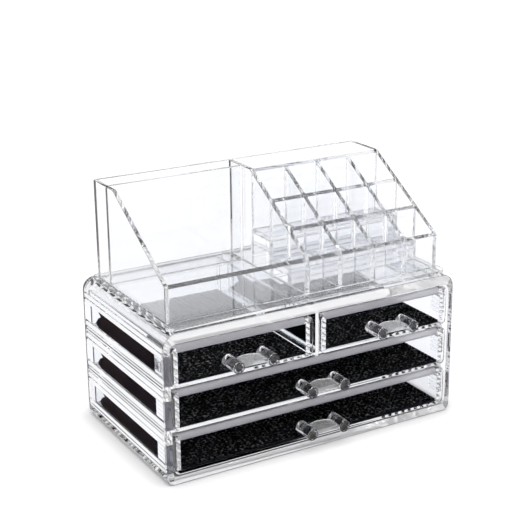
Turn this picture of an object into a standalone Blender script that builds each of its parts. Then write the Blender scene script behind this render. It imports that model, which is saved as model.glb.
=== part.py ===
"""A clear acrylic jewellery box.

A moulded case holds three rows of drawers, and a divided tray rests on its top.
Metres, +Z up. The origin is at the middle of the case's underside, and the drawers open towards -Y.
"""

import math

import bmesh
import bpy

# Clearances between pieces
seat_gap = 0.0003
front_gap = 0.0015
front_side_gap = 0.001
divider_side_gap = 0.0014
tub_headroom = 0.0005
tub_rear_gap = 0.001

# Case shell
case_width = 0.238
case_depth = 0.142
case_side_wall = 0.0045
case_back_wall = 0.004
case_floor_wall = 0.0063
case_roof_wall = 0.0074
case_top_radius = 0.010
case_bottom_radius = 0.005
case_rear_radius = 0.009
case_front_chamfer = 0.0008
bay_top_radius = 0.0055
bay_bottom_radius = 0.003
bay_rear_radius = 0.004
least_radius = 0.0005

# Rows of drawers
row_count = 3
row_pitch = 0.032
shelf_thickness = 0.002
row_divider_thickness = 0.0028

# Drawer fronts
front_thickness = 0.003
front_corner_radius = 0.0048
front_edge_radius = 0.0012
lip_height = 0.0042
lip_depth = 0.0028

# Drawer tubs
tub_inset = 0.0023
tub_side_wall = 0.0032
tub_rear_wall = 0.003
tub_floor = 0.0018
tub_corner_radius = 0.0045

# Pulls
peg_radius = 0.0044
peg_tip_radius = 0.0037
peg_tip_depth = 0.001
peg_length = 0.016
peg_spacing = 0.0266
pull_height = 0.0123
web_thickness = 0.003
web_setback = 0.002
web_arch = 0.005

# Foam liners
liner_thickness = 0.0022
liner_side_gap = 0.0005
liner_rear_gap = 0.0006
liner_cell = 0.006
liner_notch = 0.0011

# Tray base
tray_base_width = 0.2292
tray_base_depth = 0.1274
tray_base_setback = 0.0026
tray_base_thickness = 0.0025
tray_base_radius = 0.006

# Tray walls
tray_wall = 0.003
tray_margin_side = 0.0034
tray_margin_front = 0.0079
tray_margin_rear = 0.0062
tray_height = 0.0757
tray_front_height = 0.0273
tray_centre_wall = 0.0035
tray_centre_shift = -0.0005
left_bin_depth = 0.0168
right_bin_depth = 0.0313

# Lipstick slots
slot_columns = 4
slot_row_pitch = 0.0245
slot_rise = 0.014
slot_floor_thickness = 0.003

# Steps in each quarter of a round
corner_steps = 6
edge_steps = 3
rear_steps = 6
peg_steps = 7

# Case planes, worked out from the sizes above
case_half = case_width / 2
bay_half = case_half - case_side_wall
front_plane = -case_depth / 2
rear_plane = case_depth / 2
bay_rear = rear_plane - case_back_wall
bay_roof = case_floor_wall + seat_gap + row_count * row_pitch
case_height = bay_roof + case_roof_wall

# Drawer planes
front_back_face = front_plane + front_thickness
tub_front = front_back_face + seat_gap
tub_rear = bay_rear - tub_rear_gap
tub_top = row_pitch - seat_gap - shelf_thickness - tub_headroom
front_top = row_pitch - front_gap
shelf_front = front_back_face + lip_depth + seat_gap
wide_half = bay_half - front_side_gap
small_width = bay_half - front_side_gap - row_divider_thickness / 2 - divider_side_gap
small_half = small_width / 2
small_centre = bay_half - front_side_gap - small_half

# Tray planes, with heights measured from the tray's underside
tray_base_front = front_plane + tray_base_setback
tray_base_rear = tray_base_front + tray_base_depth
tray_outer_half = tray_base_width / 2 - tray_margin_side
tray_inner_half = tray_outer_half - tray_wall
tray_front = tray_base_front + tray_margin_front
tray_rear = tray_base_rear - tray_margin_rear
tray_inner_front = tray_front + tray_wall
tray_inner_rear = tray_rear - tray_wall
tray_wall_foot = tray_base_thickness + seat_gap
left_bin_front = tray_inner_rear - left_bin_depth
right_bin_front = tray_inner_rear - right_bin_depth
slope_start = right_bin_front
centre_left = tray_centre_shift - tray_centre_wall / 2
centre_right = tray_centre_shift + tray_centre_wall / 2


def clear_scene():
    """Remove every object, so that the model starts from nothing."""
    for obj in list(bpy.data.objects):
        bpy.data.objects.remove(obj, do_unlink=True)


def make_material(name, colour, roughness, transmission):
    """One Principled material. Clear plastic has a transmission of 1."""
    material = bpy.data.materials.new(name)
    material.use_nodes = True
    shader = material.node_tree.nodes["Principled BSDF"]
    shader.inputs["Base Color"].default_value = (*colour, 1)
    shader.inputs["Roughness"].default_value = roughness
    shader.inputs["Metallic"].default_value = 0
    shader.inputs["IOR"].default_value = 1.49
    shader.inputs["Transmission Weight"].default_value = transmission
    return material


def make_materials():
    """The finish of each kind of piece."""
    return {
        "case": make_material("case_acrylic", (0.95, 0.97, 0.98), 0.03, 1),
        "shelf": make_material("shelf_acrylic", (0.94, 0.97, 0.97), 0.05, 1),
        "front": make_material("front_acrylic", (0.96, 0.97, 0.98), 0.03, 1),
        "tub": make_material("tub_acrylic", (0.94, 0.96, 0.97), 0.05, 1),
        "pull": make_material("pull_acrylic", (0.93, 0.95, 0.96), 0.04, 1),
        "liner": make_material("liner_foam", (0.012, 0.012, 0.014), 0.85, 0),
        "tray": make_material("tray_acrylic", (0.96, 0.98, 0.98), 0.04, 1),
    }


def add_empty(name, location):
    """A parent for the pieces that move together, placed on their line of travel."""
    empty = bpy.data.objects.new(name, None)
    empty.location = location
    bpy.context.scene.collection.objects.link(empty)
    return empty


def add_piece(name, mesh, material, parent=None, location=(0, 0, 0)):
    """One sub-part. A mesh that several pieces share keeps its material."""
    piece = bpy.data.objects.new(name, mesh)
    if not mesh.materials:
        mesh.materials.append(material)
    piece.location = location
    piece.parent = parent
    bpy.context.scene.collection.objects.link(piece)
    return piece


def finish_mesh(bm, name):
    """Turn the faces outwards, shade round stretches smooth and return the mesh."""
    bmesh.ops.recalc_face_normals(bm, faces=bm.faces)
    mesh = bpy.data.meshes.new(name)
    bm.to_mesh(mesh)
    bm.free()
    mesh.shade_smooth()
    mesh.set_sharp_from_angle(angle=math.radians(35))
    return mesh


def loft(name, rings):
    """A closed solid through rings that have the same number of points."""
    bm = bmesh.new()
    loops = [[bm.verts.new(point) for point in ring] for ring in rings]
    for loop, following in zip(loops, loops[1:]):
        for i in range(len(loop)):
            bm.faces.new((loop[i - 1], loop[i], following[i], following[i - 1]))
    bm.faces.new(loops[0])
    bm.faces.new(loops[-1])
    return finish_mesh(bm, name)


def prism_along_x(name, outline, left, right):
    """A solid with an outline in Y and Z, drawn out along X."""
    return loft(name, [[(x, y, z) for y, z in outline] for x in (left, right)])


def prism_along_z(name, outline, low, high):
    """A solid with an outline in X and Y, drawn out along Z."""
    return loft(name, [[(x, y, z) for x, y in outline] for z in (low, high)])


def box_outline(low_x, high_x, low_y, high_y):
    """The four corners of a rectangle."""
    return [(low_x, low_y), (high_x, low_y), (high_x, high_y), (low_x, high_y)]


def arc(centre_x, centre_y, radius, start, end, steps):
    """Points on an arc between two angles in degrees."""
    angles = [math.radians(start + (end - start) * i / steps) for i in range(steps + 1)]
    return [(centre_x + radius * math.cos(a), centre_y + radius * math.sin(a)) for a in angles]


def rounded_outline(left, right, low, high, low_radius, high_radius):
    """A rectangle whose lower and upper corners have their own radius."""
    return (
        arc(left + low_radius, low + low_radius, low_radius, 180, 270, corner_steps)
        + arc(right - low_radius, low + low_radius, low_radius, 270, 360, corner_steps)
        + arc(right - high_radius, high - high_radius, high_radius, 0, 90, corner_steps)
        + arc(left + high_radius, high - high_radius, high_radius, 90, 180, corner_steps)
    )


def section(left, right, low, high, low_radius, high_radius, y, inset=0):
    """A ring across Y, drawn in on every side by the inset."""
    outline = rounded_outline(
        left + inset,
        right - inset,
        low + inset,
        high - inset,
        max(low_radius - inset, least_radius),
        max(high_radius - inset, least_radius),
    )
    return [(x, y, z) for x, z in outline]


def union(name, meshes):
    """One solid from several that run into each other."""
    pieces = []
    for i, mesh in enumerate(meshes):
        piece = bpy.data.objects.new(f"{name}_{i}", mesh)
        bpy.context.scene.collection.objects.link(piece)
        pieces.append(piece)
    for piece in pieces[1:]:
        join = pieces[0].modifiers.new("join", "BOOLEAN")
        join.operation = "UNION"
        join.solver = "EXACT"
        join.object = piece
    evaluated = pieces[0].evaluated_get(bpy.context.evaluated_depsgraph_get())
    mesh = bpy.data.meshes.new_from_object(evaluated)
    mesh.name = name
    for piece in pieces:
        bpy.data.objects.remove(piece, do_unlink=True)
    return mesh


def quarter_round(radius, steps):
    """How far each step of a rounded edge lies back from its face, and in from its side."""
    angles = [math.pi / 2 * i / steps for i in range(steps + 1)]
    return [(radius * (1 - math.cos(a)), radius * (1 - math.sin(a))) for a in angles]


def case_mesh():
    """The moulded shell: its outside from back to front, then the bay from front to back."""
    outside = (-case_half, case_half, 0, case_height, case_bottom_radius, case_top_radius)
    bay_sizes = (case_floor_wall, bay_roof, bay_bottom_radius, bay_top_radius)
    rings = []
    for back, inset in quarter_round(case_rear_radius, rear_steps):
        rings.append(section(*outside, rear_plane - back, inset))
    rings.append(section(*outside, front_plane + case_front_chamfer))
    rings.append(section(*outside, front_plane, case_front_chamfer))
    rings.append(section(-bay_half, bay_half, *bay_sizes, front_plane))
    for back, inset in reversed(quarter_round(bay_rear_radius, rear_steps)):
        rings.append(section(inset - bay_half, bay_half - inset, *bay_sizes, bay_rear - back))
    return loft("case_shell", rings)


def bay_plan(front, side_gap, rear_gap):
    """The plan of a piece that fills the bay from side to side, with its rear corners rounded."""
    half = bay_half - side_gap
    rear = bay_rear - rear_gap
    radius = bay_rear_radius
    return (
        [(-half, front), (half, front)]
        + arc(half - radius, rear - radius, radius, 0, 90, corner_steps)
        + arc(radius - half, rear - radius, radius, 90, 180, corner_steps)
    )


def row_floor(row):
    """The height of the underside of a row's drawers."""
    return case_floor_wall + seat_gap + row * row_pitch


def make_case(materials):
    """The shell, its two shelves and the upright between the small drawers."""
    add_piece("case_shell", case_mesh(), materials["case"])
    shelf = prism_along_z("shelf", bay_plan(shelf_front, seat_gap, seat_gap), -shelf_thickness, 0)
    for name, row in (("shelf_lower", 1), ("shelf_upper", 2)):
        add_piece(name, shelf, materials["shelf"], location=(0, 0, row_floor(row) - seat_gap))
    plan = box_outline(front_plane, bay_rear - seat_gap, row_floor(2), bay_roof - seat_gap)
    divider = prism_along_x("row_divider", plan, -row_divider_thickness / 2, row_divider_thickness / 2)
    add_piece("top_row_divider", divider, materials["shelf"])


def front_mesh(half_width):
    """A drawer's front panel, with the lip behind its top edge."""
    size = (-half_width, half_width, 0, front_top, front_corner_radius, front_corner_radius)
    rings = []
    for back, inset in quarter_round(front_edge_radius, edge_steps):
        rings.append(section(*size, front_plane + back, inset))
    rings.append(section(*size, front_back_face))
    panel = loft("panel", rings)
    lip_half = half_width - tub_inset - tub_side_wall - seat_gap
    sunk = front_back_face - front_thickness / 2
    outline = box_outline(sunk, front_back_face + lip_depth, tub_top - lip_height, tub_top)
    lip = prism_along_x("lip", outline, -lip_half, lip_half)
    return union("drawer_front", [panel, lip])


def tub_path(half, rear, radius):
    """The plan of a tub wall from the front left, round the back, to the front right."""
    return (
        [(-half, tub_front)]
        + arc(radius - half, rear - radius, radius, 180, 90, corner_steps)
        + arc(half - radius, rear - radius, radius, 90, 0, corner_steps)
        + [(half, tub_front)]
    )


def tub_mesh(half_width):
    """A drawer's tub: a floor and three walls, open at the front and the top."""
    half = half_width - tub_inset
    inner_radius = max(tub_corner_radius - tub_side_wall, least_radius)
    outer = tub_path(half, tub_rear, tub_corner_radius)
    inner = tub_path(half - tub_side_wall, tub_rear - tub_rear_wall, inner_radius)
    bm = bmesh.new()
    under = [bm.verts.new((x, y, 0)) for x, y in outer]
    outer_rim = [bm.verts.new((x, y, tub_top)) for x, y in outer]
    inner_rim = [bm.verts.new((x, y, tub_top)) for x, y in inner]
    floor = [bm.verts.new((x, y, tub_floor)) for x, y in inner]
    for lower, upper in ((under, outer_rim), (outer_rim, inner_rim), (inner_rim, floor)):
        for i in range(len(outer) - 1):
            bm.faces.new((lower[i], lower[i + 1], upper[i + 1], upper[i]))
    bm.faces.new(under)
    bm.faces.new(floor)
    bm.faces.new((under[0], under[-1], floor[-1], floor[0]))
    bm.faces.new((under[0], floor[0], inner_rim[0], outer_rim[0]))
    bm.faces.new((under[-1], outer_rim[-1], inner_rim[-1], floor[-1]))
    return finish_mesh(bm, "drawer_tub")


def pull_mesh():
    """Two round pegs that stand out from a front, joined by a web that arches back to the front."""
    root = front_plane - seat_gap
    tip = root - peg_length
    pegs = []
    for side in (-1, 1):
        rings = []
        for y, radius in ((root, peg_radius), (tip + peg_tip_depth, peg_radius), (tip, peg_tip_radius)):
            circle = arc(side * peg_spacing / 2, pull_height, radius, 0, 360, 4 * peg_steps)[:-1]
            rings.append([(x, y, z) for x, z in circle])
        pegs.append(loft("peg", rings))
    half = peg_spacing / 2
    web_front = tip + web_setback
    arch = [(half * math.cos(a), root - web_arch * (1 - math.sin(a)))
            for a in (math.pi * i / (2 * peg_steps) for i in range(2 * peg_steps + 1))]
    outline = [(-half, web_front), (half, web_front)] + arch
    web = prism_along_z("web", outline, pull_height - web_thickness / 2, pull_height + web_thickness / 2)
    return union("drawer_pull", [*pegs, web])


def liner_mesh(half_width):
    """A sheet of foam on the tub's floor, cut through its cells at the back."""
    half = half_width - tub_inset - tub_side_wall - liner_side_gap
    front = tub_front + seat_gap
    rear = tub_rear - tub_rear_wall - liner_rear_gap
    cells = round(2 * half / liner_cell)
    pitch = 2 * half / cells
    outline = [(-half, front), (half, front)]
    for i in reversed(range(cells)):
        y = rear - liner_notch * (i % 2)
        outline += [(pitch * (i + 1) - half, y), (pitch * i - half, y)]
    low = tub_floor + seat_gap
    return prism_along_z("drawer_liner", outline, low, low + liner_thickness)


def make_drawers(materials):
    """Two wide drawers, and two small ones side by side in the top row."""
    pull = pull_mesh()
    places = {
        wide_half: (("drawer_bottom", 0, 0), ("drawer_middle", 0, 1)),
        small_half: (("drawer_top_left", -small_centre, 2), ("drawer_top_right", small_centre, 2)),
    }
    for half_width, drawers in places.items():
        front = front_mesh(half_width)
        tub = tub_mesh(half_width)
        liner = liner_mesh(half_width)
        for name, x, row in drawers:
            slide = add_empty(f"{name}_slide", (x, 0, row_floor(row)))
            add_piece(f"{name}_front", front, materials["front"], slide)
            add_piece(f"{name}_tub", tub, materials["tub"], slide)
            add_piece(f"{name}_pull", pull, materials["pull"], slide)
            add_piece(f"{name}_liner", liner, materials["liner"], slide)


def slope_height(y):
    """The height of the tray's side at a place from front to back."""
    climb = (tray_height - tray_front_height) / (slope_start - tray_front)
    return min(tray_height, tray_front_height + climb * (y - tray_front))


def sloped_wall(name, left, right, front, rear, foot):
    """A wall whose top follows the slope of the tray's sides."""
    outline = [(front, foot), (rear, foot), (rear, slope_height(rear))]
    if front < slope_start < rear:
        outline.append((slope_start, tray_height))
    outline.append((front, slope_height(front)))
    return prism_along_x(name, outline, left, right)


def make_tray_shell(add):
    """The base, the outer walls, the centre wall and the two bin dividers."""
    half = tray_base_width / 2
    base = rounded_outline(-half, half, tray_base_front, tray_base_rear, tray_base_radius, tray_base_radius)
    add("tray_base", prism_along_z("base", base, 0, tray_base_thickness))
    side = sloped_wall("side", 0, tray_wall, tray_front, tray_rear, tray_wall_foot)
    add("tray_wall_left", side, (-tray_outer_half, 0, 0))
    add("tray_wall_right", side, (tray_inner_half, 0, 0))
    left = seat_gap - tray_inner_half
    right = tray_inner_half - seat_gap
    front = sloped_wall("front", left, right, tray_front, tray_inner_front, tray_wall_foot)
    add("tray_wall_front", front)
    add("tray_wall_rear", sloped_wall("rear", left, right, tray_inner_rear, tray_rear, tray_wall_foot))
    centre_front = tray_inner_front + seat_gap
    centre_rear = tray_inner_rear - seat_gap
    centre = sloped_wall("centre", centre_left, centre_right, centre_front, centre_rear, tray_wall_foot)
    add("tray_wall_centre", centre)
    for name, low, high, rear in (
        ("tray_bin_divider_left", left, centre_left - seat_gap, left_bin_front),
        ("tray_bin_divider_right", centre_right + seat_gap, right, right_bin_front),
    ):
        add(name, sloped_wall("bin_divider", low, high, rear - tray_wall, rear, tray_wall_foot))


def make_lipstick_slots(add):
    """Three rows of slots, each row on a floor one step higher than the row in front of it."""
    left = centre_right + seat_gap
    right = tray_inner_half - seat_gap
    row_fronts = [tray_inner_front + seat_gap]
    row_rears = []
    for i in (1, 2):
        wall_rear = tray_inner_front + slot_row_pitch * i
        wall_front = wall_rear - tray_wall
        wall = sloped_wall("cross_wall", left, right, wall_front, wall_rear, tray_wall_foot)
        add(f"tray_slot_cross_wall_{i}", wall)
        row_rears.append(wall_front - seat_gap)
        row_fronts.append(wall_rear + seat_gap)
    row_rears.append(right_bin_front - tray_wall - seat_gap)
    column_pitch = (tray_inner_half - centre_right + tray_wall) / slot_columns
    for row, (front, rear) in enumerate(zip(row_fronts, row_rears)):
        floor_top = tray_base_thickness + slot_rise * row
        if row:
            outline = box_outline(left, right, front, rear)
            floor = prism_along_z("slot_floor", outline, floor_top - slot_floor_thickness, floor_top)
            add(f"tray_slot_floor_{row}", floor)
        divider = sloped_wall("slot_divider", -tray_wall, 0, front, rear, floor_top + seat_gap)
        for column in range(1, slot_columns):
            x = centre_right + column_pitch * column
            add(f"tray_slot_divider_{row + 1}_{column}", divider, (x, 0, 0))


def make_tray(materials):
    """The tray that rests on the case and lifts straight off."""
    seat = add_empty("tray_seat", (0, 0, case_height + seat_gap))

    def add(name, mesh, location=(0, 0, 0)):
        return add_piece(name, mesh, materials["tray"], seat, location)

    make_tray_shell(add)
    make_lipstick_slots(add)


def main():
    clear_scene()
    materials = make_materials()
    make_case(materials)
    make_drawers(materials)
    make_tray(materials)


main()
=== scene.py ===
"""The looks of a clear acrylic jewellery box with three rows of drawers and a divided tray on top."""

import math

import bmesh
import bpy
from mathutils import Matrix, Vector
from mathutils.geometry import delaunay_2d_cdt


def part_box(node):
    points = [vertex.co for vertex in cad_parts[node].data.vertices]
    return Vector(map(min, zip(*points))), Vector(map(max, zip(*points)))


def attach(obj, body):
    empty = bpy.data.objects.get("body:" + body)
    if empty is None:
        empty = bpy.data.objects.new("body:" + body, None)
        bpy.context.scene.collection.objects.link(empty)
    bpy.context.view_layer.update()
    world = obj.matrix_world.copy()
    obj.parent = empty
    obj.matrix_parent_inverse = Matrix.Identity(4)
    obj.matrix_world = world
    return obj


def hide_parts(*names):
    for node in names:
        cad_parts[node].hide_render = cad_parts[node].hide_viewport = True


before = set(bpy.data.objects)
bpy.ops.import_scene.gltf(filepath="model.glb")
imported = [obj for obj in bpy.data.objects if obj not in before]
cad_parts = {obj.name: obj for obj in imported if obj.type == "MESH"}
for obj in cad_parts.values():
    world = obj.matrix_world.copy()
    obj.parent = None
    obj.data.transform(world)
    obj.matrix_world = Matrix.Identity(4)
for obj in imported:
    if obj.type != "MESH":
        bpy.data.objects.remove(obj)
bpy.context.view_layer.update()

MM = 0.001

# The camera, fitted to the photograph: angles in degrees, then its place in its own axes
CAMERA_AZIMUTH, CAMERA_ELEVATION, CAMERA_ROLL = -29.96, 18.72, -0.56
CAMERA_PLACE = (-5.15 * MM, 114.44 * MM, 995.06 * MM)
CAMERA_LENS, CAMERA_SENSOR, CAMERA_CLIP = 90.08, 36, 0.02

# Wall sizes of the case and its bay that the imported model's boxes don't tell
CASE_SIDE, CASE_FLOOR, CASE_ROOF, CASE_BACK = 4.5 * MM, 6.3 * MM, 7.4 * MM, 4.0 * MM
CASE_TOP_R, CASE_BOTTOM_R, CASE_REAR_R = 10 * MM, 5 * MM, 9 * MM
CASE_RIM_R, CASE_LEAD_R = 0.8 * MM, 0.4 * MM  # the rounded front rim, outside and inside
BAY_TOP_R, BAY_BOTTOM_R, BAY_REAR_R = 5.5 * MM, 3 * MM, 4 * MM
SHELF_SHORT, DIVIDER_SETBACK = 1.7 * MM, 0.3 * MM  # at the shelves' left ends, and at the upright's front

# The ribs inside the case's walls, at heights over a drawer's underside
RIB_START, RIB_LOW, RIB_HIGH, RIB_TOP = 0.4 * MM, 7 * MM, 20.2 * MM, 28.8 * MM
RIB_DEPTH_SHARE, RIB_APEX_SHARE = 0.434, 0.252  # a rib's depth and the height of its edge, by its pitch

# The saw teeth inside the case's walls, behind the ends of the drawers' fronts
TEETH, TOOTH_PITCH, TOOTH_DEPTH, TOOTH_BACK = 7, 1.5 * MM, 2.1 * MM, 0.01 * MM
TOOTH_LOW, TOOTH_STEPS, TOOTH_STEP, TOOTH_LEAN = 7.6 * MM, 4, 3.1 * MM, 0.83 * MM

# The drawers: front, tub, the lip behind the front's top edge, and the pull
FRONT_THICK, FRONT_CORNER_R, FRONT_EDGE_R, FRONT_BACK_R = 3 * MM, 4.8 * MM, 1.2 * MM, 0.3 * MM
TUB_SIDE, TUB_REAR, TUB_FLOOR, TUB_GAP = 3.2 * MM, 3.0 * MM, 1.8 * MM, 0.3 * MM
TUB_CORNER_R, TUB_INNER_R = 4.5 * MM, 1.3 * MM
TUB_RIM_R, TUB_FOOT_R, TUB_HEM_R = 0.5 * MM, 1.2 * MM, 0.6 * MM
LIP_DEPTH, LIP_HEIGHT, LIP_INSET, LIP_DROP = 2.8 * MM, 4.2 * MM, 1.2 * MM, 0.1 * MM
PEG_R, PEG_EDGE_R, PEG_DISH, PEG_TIP = 4.4 * MM, 0.5 * MM, 0.9 * MM, 1.2 * MM
ROOT = 3.5 * MM  # the cloudy length of a pull's peg, next to the front
WEB_THICK, WEB_SETBACK, WEB_EDGE_R, WEB_SINK = 3 * MM, 2 * MM, 0.6 * MM, 0.3 * MM

# The liners: the net's cell, a hole's radius in cells, and how far the foam's soft surface falls off
CELL, HOLE_SHARE, NET_WAVE = 4.1 * MM, 0.27, 0.25 * MM
CUT_SHARE = 0.42  # how far a full cut would go into the last row of cells
TORN, TORN_SLOPE = 18 * MM, 0.7  # the torn corner's reach from the rear, and its slant
FLAP_FRONT, FLAP_REAR, FLAP_HIGH = 16 * MM, 11.5 * MM, 13 * MM
FLAP_THICK, FLAP_INSET, FLAP_BEVEL = 0.9 * MM, 0.2 * MM, 0.4 * MM

# The tray
TRAY_BASE_R, TRAY_CORNER_R, TRAY_POCKET_R, TRAY_POCKET_LEAST_R = 6 * MM, 2 * MM, 0.9 * MM, 0.6 * MM
TRAY_BASE_EDGE_R, TRAY_LEDGE_R, TRAY_RIM_R, TRAY_FOOT_R = 0.4 * MM, 0.4 * MM, 0.3 * MM, 0.5 * MM
TRAY_STEP = 3 * MM  # the thickness of a raised slot floor

PLATE_EDGE_R = 0.25 * MM
LEAST_R = 0.5 * MM  # the smallest corner of an outline that shrinks over a rounded edge
SINK = 1 * MM  # how far a piece runs into its neighbour before the two are joined
HAIR = 0.05 * MM  # too small to show
NEAR, SAME = 1e-6, 1e-7  # points closer than this count as level, or as one point

FLOOR_SIZE, FLOOR_DROP = 30, 0.2 * MM
CONTACT = 14 * MM  # the reach of the soft shadow painted on the floor around the box
LAMP_AIM = (0, 0, 0.08)
# A lamp's name, place, size and power
LAMPS = (
    ("key", (-0.35, -0.6, 1.2), (0.8, 0.22), 4),
    ("left", (-1.0, -0.35, 0.55), (0.22, 0.7), 2),
    ("right", (1.0, -0.45, 0.6), (0.22, 0.7), 1.5),
)

# The upright panes mirror little: a film in nanometres, its index, and the share of the gloss that stays
FILM, FILM_IOR, SHEEN = 190.0, 1.22, 0.02
PANE_AREA = 150 * MM * MM  # an upright flat face of this size or more is a pane
CLOUD, LIP_CLOUD, END_CLOUD = 0.22, 0.8, 0.45  # for a pull's web, a drawer's lip and the case's front ends
BAR_LOW, BAR_HIGH = 3 * MM, 24.4 * MM  # the heights over a drawer's underside where the wall's front end is painted dark, as painted shade
POLISH, WAVE, PULL_WAVE = 0.012, 0.05, 0.02  # the acrylic's roughness and waviness
CASE_TINT, DRAWER_TINT, TRAY_TINT = (0.955, 0.96, 0.974), (0.952, 0.957, 0.971), (0.955, 0.96, 0.972)

ROWS = ("drawer_bottom", "drawer_middle", "drawer_top_left")  # one drawer of each row
DRAWERS = (*ROWS, "drawer_top_right")
# A piece's materials: the usual one, the one of its panes, then those that its pick function names
# The case's dark and grey end looks are painted shade
CASE_LOOKS = ("case", "case_pane", "front_end_painted_dark", "front_end_painted_grey", "end_matt")
# The pegs' dark end look is painted shade
DRAWER_LOOKS = ("drawer", "drawer_pane", "pull", "lip", "peg_tip_painted_black")


# Meshes


def quarter(radius, steps):
    """(how far in, how far down) for each step over a rounded edge, from its side to its top."""
    angles = [math.pi / 2 * i / steps for i in range(steps + 1)]
    return [(radius * (1 - math.cos(a)), radius * (1 - math.sin(a))) for a in angles]


def arc(cx, cy, radius, start, end, steps):
    """Points on an arc between two angles in degrees."""
    angles = [math.radians(start + (end - start) * i / steps) for i in range(steps + 1)]
    return [(cx + radius * math.cos(a), cy + radius * math.sin(a)) for a in angles]


def round_rect(x0, x1, y0, y1, r_low, r_high=None, steps=6, y_stops=()):
    """A rectangle with rounded corners, anticlockwise, with extra points at the stops up its two sides."""
    r_high = r_low if r_high is None else r_high
    corners = (
        arc(x0 + r_low, y0 + r_low, r_low, 180, 270, steps),
        arc(x1 - r_low, y0 + r_low, r_low, 270, 360, steps),
        arc(x1 - r_high, y1 - r_high, r_high, 0, 90, steps),
        arc(x0 + r_high, y1 - r_high, r_high, 90, 180, steps),
    )
    low, high = y0 + r_low + NEAR, y1 - r_high - NEAR
    up = sorted(y for y in y_stops if low < y < high)
    right, left = [(x1, y) for y in up], [(x0, y) for y in reversed(up)]
    return corners[0] + corners[1] + right + corners[2] + corners[3] + left


def skin(bm, rings, closed=True):
    """Faces between rings of vertices that have the same number of points."""
    for ring, following in zip(rings, rings[1:]):
        for i in range(0 if closed else 1, len(ring)):
            bm.faces.new((ring[i - 1], ring[i], following[i], following[i - 1]))


def loft(rings):
    """A closed solid through rings of points."""
    bm = bmesh.new()
    loops = [[bm.verts.new(p) for p in ring] for ring in rings]
    skin(bm, loops)
    bm.faces.new(loops[0])
    bm.faces.new(loops[-1])
    return to_mesh(bm)


def to_mesh(bm, name="piece"):
    """Turn the faces outwards and return the mesh."""
    bmesh.ops.recalc_face_normals(bm, faces=bm.faces)
    mesh = bpy.data.meshes.new(name)
    bm.to_mesh(mesh)
    bm.free()
    return mesh


def block(x0, x1, y0, y1, z0, z1):
    """A plate with slightly rounded edges."""
    bottom, top = [], []
    for inset, drop in quarter(PLATE_EDGE_R, 2):
        r = max(PLATE_EDGE_R - inset, HAIR)
        outline = round_rect(x0 + inset, x1 - inset, y0 + inset, y1 - inset, r, steps=2)
        bottom.append([(x, y, z0 + drop) for x, y in outline])
        top.append([(x, y, z1 - drop) for x, y in outline])
    return loft(bottom[::-1] + top)


def add(name, data):
    """An object in the scene that holds a mesh, a camera or a lamp."""
    obj = bpy.data.objects.new(name, data)
    bpy.context.scene.collection.objects.link(obj)
    return obj


def union(name, meshes):
    """One mesh from several that run into each other."""
    objects = [add(f"{name}_{i}", mesh) for i, mesh in enumerate(meshes)]
    for obj in objects[1:]:
        join = objects[0].modifiers.new("join", "BOOLEAN")
        join.operation = "UNION"
        join.solver = "EXACT"
        join.object = obj
    joined = objects[0].evaluated_get(bpy.context.evaluated_depsgraph_get())
    mesh = bpy.data.meshes.new_from_object(joined)
    mesh.name = name
    for obj in objects:
        bpy.data.objects.remove(obj, do_unlink=True)
    return mesh


def smooth(obj, angle=32):
    """Round stretches shade smoothly, and flat faces stay flat beside them."""
    obj.data.shade_smooth()
    obj.data.set_sharp_from_angle(angle=math.radians(angle))
    weigh = obj.modifiers.new("flat_faces", "WEIGHTED_NORMAL")
    weigh.keep_sharp = True
    weigh.weight = 90


def panes(mesh, looks, pick):
    """Give each face the look that pick names, or else the pane's look if it is large, upright and flat."""
    for polygon in mesh.polygons:
        upright = max(abs(polygon.normal.x), abs(polygon.normal.y)) > 0.99
        usual = 1 if upright and polygon.area > PANE_AREA else 0
        look = pick(polygon.center, polygon.normal)
        polygon.material_index = looks.index(look) if look else usual


def place(obj, materials, slot, body, *nodes):
    """Give a piece its materials, and let it stand for the CAD nodes of its body."""
    obj.data.materials.clear()
    for material in materials:
        obj.data.materials.append(material)
    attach(obj, body)
    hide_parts(*nodes)


# Materials


def acrylic(name, colour, roughness=POLISH, wave=WAVE, sheen=1, cloud=0):
    """Clear cast plastic: faintly wavy and unevenly polished, with less gloss or some cloudiness if asked."""
    material = bpy.data.materials.new(name)
    material.use_nodes = True
    nodes, links = material.node_tree.nodes, material.node_tree.links
    shader = nodes["Principled BSDF"]
    shader.inputs["Base Color"].default_value = (*colour, 1)
    shader.inputs["IOR"].default_value = 1.49
    shader.inputs["Transmission Weight"].default_value = 1 - cloud
    if sheen < 1:
        shader.inputs["Specular Tint"].default_value = (sheen, sheen, sheen, 1)
        shader.inputs["Thin Film Thickness"].default_value = FILM
        shader.inputs["Thin Film IOR"].default_value = FILM_IOR
    coords = nodes.new("ShaderNodeTexCoord")
    smudge = nodes.new("ShaderNodeTexNoise")
    smudge.inputs["Scale"].default_value = 38
    smudge.inputs["Detail"].default_value = 4
    links.new(coords.outputs["Object"], smudge.inputs["Vector"])
    polish = nodes.new("ShaderNodeMapRange")
    polish.inputs["From Min"].default_value = 0.35
    polish.inputs["From Max"].default_value = 0.75
    polish.inputs["To Min"].default_value = roughness * 0.4
    polish.inputs["To Max"].default_value = roughness * 1.6
    links.new(smudge.outputs["Fac"], polish.inputs["Value"])
    links.new(polish.outputs["Result"], shader.inputs["Roughness"])
    ripple = nodes.new("ShaderNodeTexNoise")
    ripple.inputs["Scale"].default_value = 26
    ripple.inputs["Detail"].default_value = 1
    links.new(coords.outputs["Object"], ripple.inputs["Vector"])
    bump = nodes.new("ShaderNodeBump")
    bump.inputs["Strength"].default_value = wave
    bump.inputs["Distance"].default_value = 0.4 * MM
    links.new(ripple.outputs["Fac"], bump.inputs["Height"])
    links.new(bump.outputs["Normal"], shader.inputs["Normal"])
    return material


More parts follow.
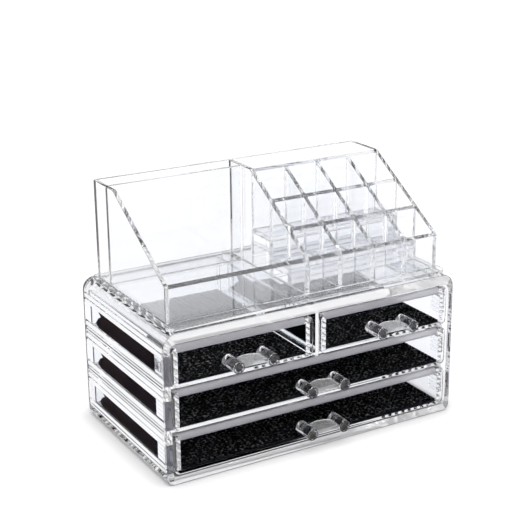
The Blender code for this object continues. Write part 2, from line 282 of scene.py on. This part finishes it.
def foam(name):
    """Black foam net, dull and uneven, with painted highlights: pale glints painted as specks on the faces
    that look up.
    """
    material = bpy.data.materials.new(name)
    material.use_nodes = True
    nodes, links = material.node_tree.nodes, material.node_tree.links
    shader = nodes["Principled BSDF"]
    shader.inputs["Specular IOR Level"].default_value = 0.12
    coords = nodes.new("ShaderNodeTexCoord")
    cells = nodes.new("ShaderNodeTexNoise")
    cells.inputs["Scale"].default_value = 1400
    cells.inputs["Detail"].default_value = 3
    links.new(coords.outputs["Object"], cells.inputs["Vector"])
    ramp = nodes.new("ShaderNodeValToRGB")
    ramp.color_ramp.elements[0].color = (0.004, 0.004, 0.0045, 1)
    ramp.color_ramp.elements[1].color = (0.014, 0.014, 0.016, 1)
    links.new(cells.outputs["Fac"], ramp.inputs["Fac"])
    # Painted highlights: pale specks mixed into the colour, only on the faces that look up, stand in for
    # glints
    grains = nodes.new("ShaderNodeTexNoise")
    grains.inputs["Scale"].default_value = 620
    grains.inputs["Detail"].default_value = 2
    links.new(coords.outputs["Object"], grains.inputs["Vector"])
    speck = nodes.new("ShaderNodeMapRange")
    speck.inputs["From Min"].default_value = 0.56
    speck.inputs["From Max"].default_value = 0.62
    links.new(grains.outputs["Fac"], speck.inputs["Value"])
    face = nodes.new("ShaderNodeNewGeometry")
    split = nodes.new("ShaderNodeSeparateXYZ")
    links.new(face.outputs["True Normal"], split.inputs[0])
    upward = nodes.new("ShaderNodeMapRange")
    upward.inputs["From Min"].default_value = 0.3
    upward.inputs["From Max"].default_value = 0.7
    links.new(split.outputs["Z"], upward.inputs["Value"])
    painted_glints = nodes.new("ShaderNodeMath")
    painted_glints.operation = "MULTIPLY"
    links.new(speck.outputs["Result"], painted_glints.inputs[0])
    links.new(upward.outputs["Result"], painted_glints.inputs[1])
    blend = nodes.new("ShaderNodeMix")
    blend.data_type = "RGBA"
    links.new(painted_glints.outputs[0], blend.inputs["Factor"])
    links.new(ramp.outputs["Color"], blend.inputs["A"])
    blend.inputs["B"].default_value = (0.26, 0.26, 0.27, 1)
    links.new(blend.outputs["Result"], shader.inputs["Base Color"])
    dull = nodes.new("ShaderNodeMapRange")
    dull.inputs["To Min"].default_value = 0.7
    dull.inputs["To Max"].default_value = 0.95
    links.new(cells.outputs["Fac"], dull.inputs["Value"])
    links.new(dull.outputs["Result"], shader.inputs["Roughness"])
    bump = nodes.new("ShaderNodeBump")
    bump.inputs["Strength"].default_value = 0.5
    bump.inputs["Distance"].default_value = 0.15 * MM
    links.new(cells.outputs["Fac"], bump.inputs["Height"])
    links.new(bump.outputs["Normal"], shader.inputs["Normal"])
    return material


# Case


def case_shell_mesh():
    """The outside from back to front, the rounded front rim, then the bay from front to back."""
    low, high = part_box("case_shell")
    x, z0, z1 = high.x, low.z, high.z
    bay_x, bay_low, bay_high = x - CASE_SIDE, z0 + CASE_FLOOR, z1 - CASE_ROOF
    front, rear = low.y, high.y
    stops = [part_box(f"{row}_front")[0].z + height for row in ROWS for height in (BAR_LOW, BAR_HIGH)]

    def outside(y, inset=0):
        """The shell's outline at one depth."""
        r_low, r_high = (max(r - inset, LEAST_R) for r in (CASE_BOTTOM_R, CASE_TOP_R))
        outline = round_rect(inset - x, x - inset, z0 + inset, z1 - inset, r_low, r_high, 10, y_stops=stops)
        return [(a, y, b) for a, b in outline]

    def bay(y, inset=0, low_inset=0):
        """The bay's outline at one depth."""
        outline = round_rect(
            inset - bay_x, bay_x - inset, bay_low + low_inset, bay_high - low_inset,
            BAY_BOTTOM_R, BAY_TOP_R, 10, y_stops=stops,
        )
        return [(a, y, b) for a, b in outline]

    rings = [outside(rear - back, inset) for inset, back in reversed(quarter(CASE_REAR_R, 10))]
    rings += [outside(front + back, inset) for inset, back in quarter(CASE_RIM_R, 4)]
    for inset, back in reversed(quarter(CASE_LEAD_R, 4)):
        rings.append(bay(front + back, inset - CASE_LEAD_R, inset - CASE_LEAD_R))
    rings += [bay(rear - CASE_BACK - back, inset) for inset, back in quarter(BAY_REAR_R, 8)]
    return loft(rings)


def rail_mesh(side, bay_half, bay_rear, bottom, top, ribs):
    """Ribs moulded inside the case wall along a drawer's side, each a square corner turned a little down."""
    pitch, front = (top - bottom) / ribs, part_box("shelf_lower")[0].y
    depth, apex = pitch * RIB_DEPTH_SHARE, pitch * RIB_APEX_SHARE
    outline = [(side * (bay_half + SINK), bottom), (side * bay_half, bottom)]
    for i in range(ribs):
        z = bottom + pitch * i
        outline += [(side * (bay_half - depth), z + apex), (side * bay_half, z + pitch)]
    outline.append((side * (bay_half + SINK), top))
    return loft([[(x, y, z) for x, z in outline] for y in (front, bay_rear + SINK)])


def post_mesh(side, bay_half, floor):
    """Upright saw teeth moulded inside the case wall, just behind the end of a drawer's front."""
    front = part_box("shelf_lower")[0].y
    outline = [(side * (bay_half + SINK), front), (side * bay_half, front)]
    for i in range(TEETH):
        y = front + TOOTH_PITCH * (i + 1)
        outline += [(side * (bay_half - TOOTH_DEPTH), y), (side * bay_half, y + TOOTH_BACK)]
    outline.append((side * (bay_half + SINK), front + TOOTH_PITCH * TEETH + TOOTH_BACK))
    levels = []
    for i in range(TOOTH_STEPS):
        z = floor + TOOTH_LOW + TOOTH_STEP * i
        levels += [(z, 0), (z + TOOTH_STEP - HAIR, TOOTH_LEAN)]
    return loft([[(x, y + shift, z) for x, y in outline] for z, shift in levels])


def make_case(materials):
    """The shell with its shelves and upright joined into one clear body."""
    meshes = [case_shell_mesh()]
    front, bay_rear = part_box("case_shell")[0].y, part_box("case_shell")[1].y - CASE_BACK
    bay_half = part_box("case_shell")[1].x - CASE_SIDE
    for node in ("shelf_lower", "shelf_upper"):
        low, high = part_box(node)
        meshes.append(block(SHELF_SHORT - bay_half, bay_half + SINK, low.y, bay_rear + SINK, low.z, high.z))
    floors = [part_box(f"{row}_front")[0].z for row in ROWS]
    for i, floor in enumerate(floors):
        high, ribs = (floor + RIB_TOP, 2) if i + 1 == len(floors) else (floors[i + 1] + RIB_LOW, 4)
        meshes.append(rail_mesh(-1, bay_half, bay_rear, floor + RIB_HIGH, high, ribs))
        meshes.append(rail_mesh(1, bay_half, bay_rear, floor + RIB_HIGH, floor + RIB_TOP, 2))
        meshes += [post_mesh(side, bay_half, floor) for side in (-1, 1)]
    meshes.append(rail_mesh(-1, bay_half, bay_rear, floors[0] + RIB_START, floors[0] + RIB_LOW, 2))
    low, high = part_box("top_row_divider")
    meshes.append(block(low.x, high.x, low.y + DIVIDER_SETBACK, bay_rear + SINK, low.z - SINK, high.z + SINK))
    case = add("case_body", union("case_body", meshes))
    smooth(case, angle=26)
    place(case, [materials[look] for look in CASE_LOOKS], "case_acrylic", "case",
          "case_shell", "shelf_lower", "shelf_upper", "top_row_divider")

    def pick(centre, normal):
        """The look of a face at the front rim, where light has come a long way through the walls: painted
        shade as a dark or grey tint, or else a cloudy face.
        """
        if centre.y > front + CASE_RIM_R or normal.y > -0.05:
            return None
        # Painted shade: the left wall's front end between the shelves is tinted dark
        if centre.x < -bay_half and any(floor + BAR_LOW < centre.z < floor + BAR_HIGH for floor in floors):
            return "front_end_painted_dark"
        # Painted shade: rim faces that look down or to the right are tinted dark
        if normal.z < -0.3 or normal.x > 0.3:
            return "front_end_painted_dark"
        if normal.y < -0.9 and abs(centre.x) < bay_half:
            return "end_matt"
        # Painted shade: the right wall's front end is tinted grey
        return "front_end_painted_grey" if centre.x > bay_half else None

    panes(case.data, CASE_LOOKS, pick)


# Drawers


def panel_mesh(low, high):
    """A drawer's front panel with rounded corners and a rounded front edge."""

    def ring(y, inset, r):
        """The panel's outline at one depth."""
        outline = round_rect(low.x + inset, high.x - inset, low.z + inset, high.z - inset, r, steps=8)
        return [(x, y, z) for x, z in outline]

    rings = [ring(low.y + back, inset, max(FRONT_CORNER_R - inset, LEAST_R))
             for inset, back in reversed(quarter(FRONT_EDGE_R, 5))]
    rings += [ring(low.y + FRONT_THICK - back, inset, FRONT_CORNER_R - inset)
              for inset, back in quarter(FRONT_BACK_R, 2)]
    return loft(rings)


def tub_mesh(low, high):
    """Three walls and a floor, with a rounded rim and a small fillet where the walls meet the floor."""
    front = low.y - TUB_GAP - SINK
    profile = [(inset, low.z + drop) for inset, drop in reversed(quarter(TUB_HEM_R, 3))]
    profile += [(inset, high.z - drop) for inset, drop in quarter(TUB_RIM_R, 3)]
    profile += [(TUB_SIDE - inset, high.z - drop) for inset, drop in reversed(quarter(TUB_RIM_R, 3))]
    profile += [(TUB_SIDE + inset, low.z + TUB_FLOOR + drop) for inset, drop in quarter(TUB_FOOT_R, 4)]
    bm = bmesh.new()
    rings = []
    for inset, z in profile:
        left, right, rear = low.x + inset, high.x - inset, high.y - inset * TUB_REAR / TUB_SIDE
        r = max(TUB_CORNER_R - inset, TUB_INNER_R)
        path = ([(left, front)] + arc(left + r, rear - r, r, 180, 90, 8)
                + arc(right - r, rear - r, r, 90, 0, 8) + [(right, front)])
        rings.append([bm.verts.new((x, y, z)) for x, y in path])
    skin(bm, rings, closed=False)
    bm.faces.new(rings[0])
    bm.faces.new(rings[-1])
    bm.faces.new([ring[0] for ring in rings] + [ring[-1] for ring in reversed(rings)])
    return to_mesh(bm)


def pull_meshes(low, high):
    """Two round pegs with hollow ends, joined by a half-round web, all run into the panel behind them."""
    z = (low.z + high.z) / 2
    xs = (low.x + PEG_R, high.x - PEG_R)
    profile = [(high.y + SINK, PEG_R), (high.y - ROOT, PEG_R)]
    profile += [(low.y + back, PEG_R - inset) for inset, back in quarter(PEG_EDGE_R, 4)]
    hollow_r = PEG_R - 2 * PEG_EDGE_R
    profile += [(low.y + PEG_DISH * (1 - share ** 2), share * hollow_r) for share in (1, 0.8, 0.55, 0.2)]
    circle = [2 * math.pi * i / 48 for i in range(48)]
    meshes = [loft([[(x + r * math.cos(a), y, z + r * math.sin(a)) for a in circle] for y, r in profile])
              for x in xs]
    meshes.append(web_mesh(xs, low.y + WEB_SETBACK, high.y + WEB_SINK, z))
    return meshes


def web_mesh(xs, front, rear, z):
    """A plate with a straight front edge and a half-round rear edge that reaches the panel."""
    half, centre = (xs[1] - xs[0]) / 2, (xs[0] + xs[1]) / 2
    start = rear - half

    def outline(inset):
        """The web from above, at one height of its rounded edge."""
        arch = [(centre + (half - inset) * math.cos(a), start + (half - inset) * math.sin(a))
                for a in (math.pi * i / 32 for i in range(33))]
        return [(centre - half + inset, front + inset), (centre + half - inset, front + inset)] + arch

    edge = quarter(WEB_EDGE_R, 4)
    rings = [[(x, y, z - WEB_THICK / 2 + drop) for x, y in outline(inset)] for inset, drop in reversed(edge)]
    rings += [[(x, y, z + WEB_THICK / 2 - drop) for x, y in outline(inset)] for inset, drop in edge]
    return loft(rings)


def liner_mesh(low, high, torn):
    """A net of foam: rows of holes in a soft sheet, cut through its cells at the back."""
    columns, rows = round((high.x - low.x) / CELL), round((high.y - low.y) / CELL)
    px, py = (high.x - low.x) / columns, (high.y - low.y) / rows
    # a cell's corners and the middles of its sides as shares, and the turns to them from its centre
    shares = ((0, 0), (0.5, 0), (1, 0), (1, 0.5), (1, 1), (0.5, 1), (0, 1), (0, 0.5))
    turns = [math.radians(a) for a in (225, 270, 315, 0, 45, 90, 135, 180)]
    bm = bmesh.new()
    made = {}

    def vert(x, y, z):
        """The vertex at a place, made once for all cells that share it."""
        key = (round(x * 1e6), round(y * 1e6), round(z * 1e6))
        if key not in made:
            made[key] = bm.verts.new((x, y, z))
        return made[key]

    def corner_cut(i):
        """How deep the rear edge is cut between two columns, as a share of a full cut."""
        return 0.45 + 0.3 * math.sin(i * 2.1)

    for i in range(columns):
        for j in range(rows):
            x0, y0 = low.x + px * i, low.y + py * j
            if torn and x0 + px - low.x < (y0 + py - (high.y - TORN)) * TORN_SLOPE:
                continue
            square = [(x0 + px * u, y0 + py * v) for u, v in shares]
            if j == rows - 1:
                cuts = (0, 0, 0, 0, corner_cut(i), 0.75 + 0.2 * math.sin(i * 1.3), corner_cut(i - 1), 0)
                square = [(x, y - cut * py * CUT_SHARE) for (x, y), cut in zip(square, cuts)]
            hole = [(x0 + px / 2 + px * HOLE_SHARE * math.cos(a), y0 + py / 2 + py * HOLE_SHARE * math.sin(a))
                    for a in turns]
            top = [vert(x, y, high.z - (NET_WAVE if k % 2 else 0)) for k, (x, y) in enumerate(square)]
            top_in = [vert(x, y, high.z - NET_WAVE * 2) for x, y in hole]
            low_in = [vert(x, y, low.z + NET_WAVE) for x, y in hole]
            bottom = [vert(x, y, low.z) for x, y in square]
            skin(bm, [top, top_in, low_in, bottom])
    bmesh.ops.bridge_loops(bm, edges=[e for e in bm.edges if e.is_boundary])
    return to_mesh(bm)


def flap_mesh(low, high):
    """The liner's left edge, turned up along the tub's wall, with its corners torn off."""
    front, rear, top = low.y + FLAP_FRONT, high.y - FLAP_REAR, high.z + FLAP_HIGH
    # the torn rear end: millimetres behind the flap's rear, and the share of the height under its top
    tear = ((0, 0), (0.6, 0.15), (-3, 0.35), (1.6, 0.5), (4.6, 0.7), (6.4, 0.82), (4, 0.93), (1.5, 1))
    outline = [(front, low.z), (front, top - FLAP_BEVEL), (front + FLAP_BEVEL, top)]
    outline += [(rear + y * MM, top + (low.z - top) * share) for y, share in tear]
    x = low.x + FLAP_INSET
    return loft([[(x + dx, y, z) for y, z in outline] for dx in (0, FLAP_THICK)])


def make_drawer(name, materials):
    """The clear drawer with its pull, and its liner."""
    front_low, front_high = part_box(f"{name}_front")
    tub_low, tub_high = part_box(f"{name}_tub")
    pull_low, pull_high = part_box(f"{name}_pull")
    lip_top, rear = tub_high.z - LIP_DROP, front_low.y + FRONT_THICK
    lip = block(front_low.x + LIP_INSET, front_high.x - LIP_INSET, rear - SINK, rear + LIP_DEPTH,
                lip_top - LIP_HEIGHT, lip_top)
    meshes = [panel_mesh(front_low, front_high), tub_mesh(tub_low, tub_high), lip]
    meshes += pull_meshes(pull_low, pull_high)
    drawer = add(f"{name}_clear", union(name, meshes))
    smooth(drawer)
    place(drawer, [materials[look] for look in DRAWER_LOOKS], "front_acrylic", name,
          f"{name}_front", f"{name}_tub", f"{name}_pull")
    web_start = 1.9 * PEG_R  # just short of a peg's inner side

    def pick(centre, normal):
        """The look of a face at a peg's end, which is painted dark as painted shade, on the web or a peg's
        root, or on the lip.
        """
        if centre.y < front_low.y - HAIR:
            # Painted shade: a peg's hollow end is tinted nearly black
            if normal.y < -0.93 and centre.y < pull_low.y + PEG_TIP:
                return "peg_tip_painted_black"
            web = pull_low.x + web_start < centre.x < pull_high.x - web_start
            return "pull" if web or centre.y > front_low.y - ROOT else None
        behind = rear + HAIR < centre.y < rear + LIP_DEPTH + SINK
        level = lip_top - LIP_HEIGHT - HAIR < centre.z < lip_top + HAIR
        return "lip" if behind and level and abs(normal.x) < 0.5 else None

    panes(drawer.data, DRAWER_LOOKS, pick)
    low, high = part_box(f"{name}_liner")
    sheet, flap = liner_mesh(low, high, torn=name in ROWS), flap_mesh(low, high)
    liner = add(f"{name}_net", union(f"{name}_net", [sheet, flap]))
    smooth(liner, angle=50)
    place(liner, (materials["liner"],), "liner_foam", name, f"{name}_liner")


# Tray


def tray_rows():
    """(front, rear, floor) of each row of slots."""
    walls = [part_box(f"tray_slot_cross_wall_{i}") for i in (1, 2)]
    fronts = [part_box("tray_wall_front")[1].y] + [high.y for _, high in walls]
    rears = [low.y for low, _ in walls] + [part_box("tray_bin_divider_right")[0].y]
    floors = [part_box(node)[1].z for node in ("tray_base", "tray_slot_floor_1", "tray_slot_floor_2")]
    return list(zip(fronts, rears, floors))


def tray_columns():
    """(left, right) of each column of slots."""
    edges = [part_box("tray_wall_centre")[1].x]
    for i in (1, 2, 3):
        low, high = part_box(f"tray_slot_divider_1_{i}")
        edges += [low.x, high.x]
    edges.append(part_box("tray_wall_right")[0].x)
    return list(zip(edges[::2], edges[1::2]))


def tray_pockets(rows, columns):
    """(left, right, front, rear, floor) of the open bay, the two deep bins and the slots."""
    front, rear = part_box("tray_wall_front")[1].y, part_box("tray_wall_rear")[0].y
    left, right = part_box("tray_wall_left")[1].x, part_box("tray_wall_right")[0].x
    centre_low, centre_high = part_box("tray_wall_centre")
    left_divider, right_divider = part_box("tray_bin_divider_left"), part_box("tray_bin_divider_right")
    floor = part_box("tray_base")[1].z
    pockets = [
        (left, centre_low.x, front, left_divider[0].y, floor),
        (left, centre_low.x, left_divider[1].y, rear, floor),
        (centre_high.x, right, right_divider[1].y, rear, floor),
    ]
    for y0, y1, z in rows:
        pockets += [(x0, x1, y0, y1, z) for x0, x1 in columns]
    return pockets


def make_tray(materials):
    """One clear tray: stepped slots, bins and an open bay between walls whose tops slope to the front."""
    base_low, base_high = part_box("tray_base")
    front_low, front_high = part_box("tray_wall_front")
    floor, top = base_high.z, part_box("tray_wall_left")[1].z
    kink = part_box("tray_bin_divider_right")[1].y
    # the slope from the front wall's rear edge, where the CAD is highest, to the kink
    rise = (top - front_high.z) / (kink - front_high.y)
    bm = bmesh.new()

    def ring(box, grow, r, z=None, drop=0, steps=6):
        """Vertices round a box that grows, at the height z, or else a drop under the walls' sloping tops."""
        x0, x1, y0, y1 = box
        outline = round_rect(x0 - grow, x1 + grow, y0 - grow, y1 + grow, r, steps=steps, y_stops=[kink])
        verts = []
        for x, y in outline:
            slope = min(top, front_high.z + rise * (y - front_high.y))
            verts.append(bm.verts.new((x, y, slope - drop if z is None else z)))
        return verts

    # the outside, from the underside of the base to the walls' tops
    base = (base_low.x, base_high.x, base_low.y, base_high.y)
    walls = (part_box("tray_wall_left")[0].x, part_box("tray_wall_right")[1].x,
             front_low.y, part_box("tray_wall_rear")[1].y)
    outside = []
    for inset, drop in reversed(quarter(TRAY_BASE_EDGE_R, 3)):
        outside.append(ring(base, -inset, TRAY_BASE_R - inset, base_low.z + drop))
    for inset, drop in quarter(TRAY_BASE_EDGE_R, 3):
        outside.append(ring(base, -inset, TRAY_BASE_R - inset, floor - drop))
    for inset, drop in reversed(quarter(TRAY_LEDGE_R, 4)):
        outside.append(ring(walls, inset, TRAY_CORNER_R + inset, floor + drop))
    for inset, drop in quarter(TRAY_RIM_R, 3):
        outside.append(ring(walls, -inset, TRAY_CORNER_R - inset, drop=drop))
    skin(bm, outside)
    bm.faces.new(outside[0])

    # the pockets, from the walls' tops down to their floors
    rows, columns = tray_rows(), tray_columns()
    holes = []
    for *box, z in tray_pockets(rows, columns):
        rings = [ring(box, inset, TRAY_POCKET_R + inset, drop=drop, steps=4)
                 for inset, drop in reversed(quarter(TRAY_RIM_R, 3))]
        rings += [ring(box, -inset, max(TRAY_POCKET_R - inset, TRAY_POCKET_LEAST_R), z + drop, steps=4)
                  for inset, drop in quarter(TRAY_FOOT_R, 3)]
        skin(bm, rings)
        bm.faces.new(rings[-1])
        holes.append(rings[0])
    cap(bm, outside[-1], holes, kink)

    # the hollow steps under the raised slots
    for y0, y1, z in rows[1:]:
        box, foot = (columns[0][0], columns[-1][1], y0, y1), quarter(TRAY_FOOT_R, 3)
        rings = [ring(box, -inset, TRAY_POCKET_R, floor + drop, steps=4) for inset, drop in reversed(foot)]
        rings += [ring(box, -inset, TRAY_POCKET_R, z - TRAY_STEP - drop, steps=4) for inset, drop in foot]
        skin(bm, rings)
        bm.faces.new(rings[0])
        bm.faces.new(rings[-1])
    tray = add("tray_body", to_mesh(bm))
    smooth(tray)
    nodes = [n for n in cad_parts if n.startswith("tray_")]
    place(tray, (materials["tray"],), "tray_acrylic", "tray", *nodes)


def cap(bm, outer, holes, kink):
    """Faces between an outer loop and the holes in it, with an edge across the left wall at the kink."""
    points, edges, verts = [], [], []
    for loop in [outer] + holes:
        start = len(points)
        verts += loop
        points += [Vector((v.co.x, v.co.y)) for v in loop]
        edges += [(start + i, start + (i + 1) % len(loop)) for i in range(len(loop))]
    on_kink = sorted((i for i, p in enumerate(points) if abs(p.y - kink) < NEAR), key=lambda i: points[i].x)
    edges.append(tuple(on_kink[:2]))
    corners, _, triangles, source, _, _ = delaunay_2d_cdt(points, edges, [], 0, SAME)
    for triangle in triangles:
        x = sum(corners[i].x for i in triangle) / 3
        y = sum(corners[i].y for i in triangle) / 3
        if inside(x, y, outer) and not any(inside(x, y, hole) for hole in holes):
            bm.faces.new([verts[source[i][0]] for i in triangle])


def inside(x, y, loop):
    """True if a point lies inside a closed loop of vertices, seen from above."""
    found = False
    for i, vert in enumerate(loop):
        (ax, ay, _), (bx, by, _) = vert.co, loop[i - 1].co
        if (ay > y) != (by > y) and x < (bx - ax) * (y - ay) / (by - ay) + ax:
            found = not found
    return found


# Stage


def make_camera():
    """The camera that the photograph was taken with, as fitted."""
    a, e, r = (math.radians(v) for v in (CAMERA_AZIMUTH, CAMERA_ELEVATION, CAMERA_ROLL))
    back = Vector((math.sin(a) * math.cos(e), -math.cos(a) * math.cos(e), math.sin(e)))
    side = Vector((0, 0, 1)).cross(back).normalized()
    up = back.cross(side)
    rows = Matrix((side * math.cos(r) + up * math.sin(r), up * math.cos(r) - side * math.sin(r), back))
    data = bpy.data.cameras.new("camera")
    data.lens, data.sensor_width = CAMERA_LENS, CAMERA_SENSOR
    data.clip_start = CAMERA_CLIP
    camera = add("camera", data)
    matrix = rows.transposed().to_4x4()
    matrix.translation = rows.transposed() @ Vector(CAMERA_PLACE)
    camera.matrix_world = matrix
    bpy.context.scene.camera = camera


def seen(nodes, links):
    """1 for rays from the camera and for those that gloss and glass send on, else 0."""
    path = nodes.new("ShaderNodeLightPath")
    first = nodes.new("ShaderNodeMath")
    first.operation = "MAXIMUM"
    links.new(path.outputs["Is Camera Ray"], first.inputs[0])
    links.new(path.outputs["Is Glossy Ray"], first.inputs[1])
    second = nodes.new("ShaderNodeMath")
    second.operation = "MAXIMUM"
    links.new(first.outputs[0], second.inputs[0])
    links.new(path.outputs["Is Transmission Ray"], second.inputs[1])
    return second.outputs[0]


def make_floor():
    """A white floor that looks lit from within, with a painted shadow: it glows less close to the box, where
    its shadow would be.
    """
    bpy.ops.mesh.primitive_plane_add(size=FLOOR_SIZE, location=(0, 0, -FLOOR_DROP))
    floor = bpy.context.object
    floor.name = "floor"
    material = bpy.data.materials.new("floor")
    material.use_nodes = True
    nodes, links = material.node_tree.nodes, material.node_tree.links
    nodes.clear()
    out = nodes.new("ShaderNodeOutputMaterial")
    diffuse = nodes.new("ShaderNodeBsdfDiffuse")
    diffuse.inputs["Color"].default_value = (0.6, 0.6, 0.603, 1)
    glow = nodes.new("ShaderNodeEmission")
    glow.inputs["Color"].default_value = (1, 1, 1, 1)
    both = nodes.new("ShaderNodeAddShader")
    fac = seen(nodes, links)
    lift = nodes.new("ShaderNodeMath")
    lift.operation = "MULTIPLY"
    lift.inputs[1].default_value = 0.6
    links.new(fac, lift.inputs[0])
    # Painted shadow: ambient occlusion dims the floor's glow close to the box
    near = nodes.new("ShaderNodeAmbientOcclusion")
    near.inputs["Distance"].default_value = CONTACT
    near.samples = 12
    painted_shadow_glow = nodes.new("ShaderNodeMath")
    painted_shadow_glow.operation = "MULTIPLY"
    links.new(lift.outputs[0], painted_shadow_glow.inputs[0])
    links.new(near.outputs["AO"], painted_shadow_glow.inputs[1])
    links.new(painted_shadow_glow.outputs[0], glow.inputs["Strength"])
    links.new(diffuse.outputs[0], both.inputs[0])
    links.new(glow.outputs[0], both.inputs[1])
    links.new(both.outputs[0], out.inputs["Surface"])
    floor.data.materials.append(material)


def make_world():
    """White up to 27 degrees over the horizon, dark from 30 to 43 degrees, and white overhead."""
    world = bpy.data.worlds.new("world")
    bpy.context.scene.world = world
    world.use_nodes = True
    nodes, links = world.node_tree.nodes, world.node_tree.links
    background = nodes["Background"]
    coords = nodes.new("ShaderNodeTexCoord")
    split = nodes.new("ShaderNodeSeparateXYZ")
    links.new(coords.outputs["Generated"], split.inputs[0])
    ramp = nodes.new("ShaderNodeValToRGB")
    links.new(split.outputs["Z"], ramp.inputs["Fac"])
    stops = ramp.color_ramp.elements
    stops[0].position, stops[0].color = 0.46, (1, 1, 1, 1)
    stops[1].position, stops[1].color = 0.5, (0.06, 0.06, 0.065, 1)
    for position, level in ((0.68, 0.06), (0.76, 1.0)):
        stops.new(position).color = (level, level, level, 1)
    links.new(ramp.outputs["Color"], background.inputs["Color"])
    background.inputs["Strength"].default_value = 1


def make_lamp(name, spot, size, power):
    """A rectangular lamp that looks at the middle of the box."""
    data = bpy.data.lights.new(name, "AREA")
    data.shape, data.size, data.size_y = "RECTANGLE", *size
    data.energy = power
    lamp = add(name, data)
    lamp.location = spot
    lamp.rotation_euler = (Vector(spot) - Vector(LAMP_AIM)).to_track_quat("Z", "Y").to_euler()


def make_materials():
    """All materials by their looks."""
    return {
        "case": acrylic("case_acrylic_visual", CASE_TINT),
        "case_pane": acrylic("case_pane_visual", CASE_TINT, sheen=SHEEN),
        "drawer": acrylic("drawer_acrylic_visual", DRAWER_TINT),
        "drawer_pane": acrylic("drawer_pane_visual", DRAWER_TINT, sheen=SHEEN),
        "pull": acrylic("pull_acrylic_visual", (0.95, 0.955, 0.965), 0.01, PULL_WAVE, cloud=CLOUD),
        "lip": acrylic("lip_acrylic_visual", (0.86, 0.85, 0.89), 0.05, PULL_WAVE, cloud=LIP_CLOUD),
        # Painted shade: a near-black tint for the pegs' ends
        "peg_tip_painted_black": acrylic("peg_tip_painted_black_visual", (0.006, 0.005, 0.008), wave=PULL_WAVE),
        # Painted shade: dark and grey tints for the case's front ends
        "front_end_painted_dark": acrylic("front_end_painted_dark_visual", (0.05, 0.047, 0.065)),
        "end_matt": acrylic("end_matt_visual", (0.95, 0.95, 0.97), cloud=END_CLOUD),
        "front_end_painted_grey": acrylic("front_end_painted_grey_visual", (0.36, 0.355, 0.38)),
        "tray": acrylic("tray_acrylic_visual", TRAY_TINT),
        "liner": foam("liner_foam_visual"),
    }


def main():
    """The box, its surroundings and the picture's settings."""
    make_camera()
    materials = make_materials()
    make_case(materials)
    for name in DRAWERS:
        make_drawer(name, materials)
    make_tray(materials)
    make_floor()
    make_world()
    for lamp in LAMPS:
        make_lamp(*lamp)
    scene = bpy.context.scene
    scene.cycles.max_bounces = 36
    scene.cycles.transmission_bounces = 36
    scene.cycles.glossy_bounces = 24
    scene.cycles.diffuse_bounces = 4
    scene.view_settings.view_transform = "Standard"


main()
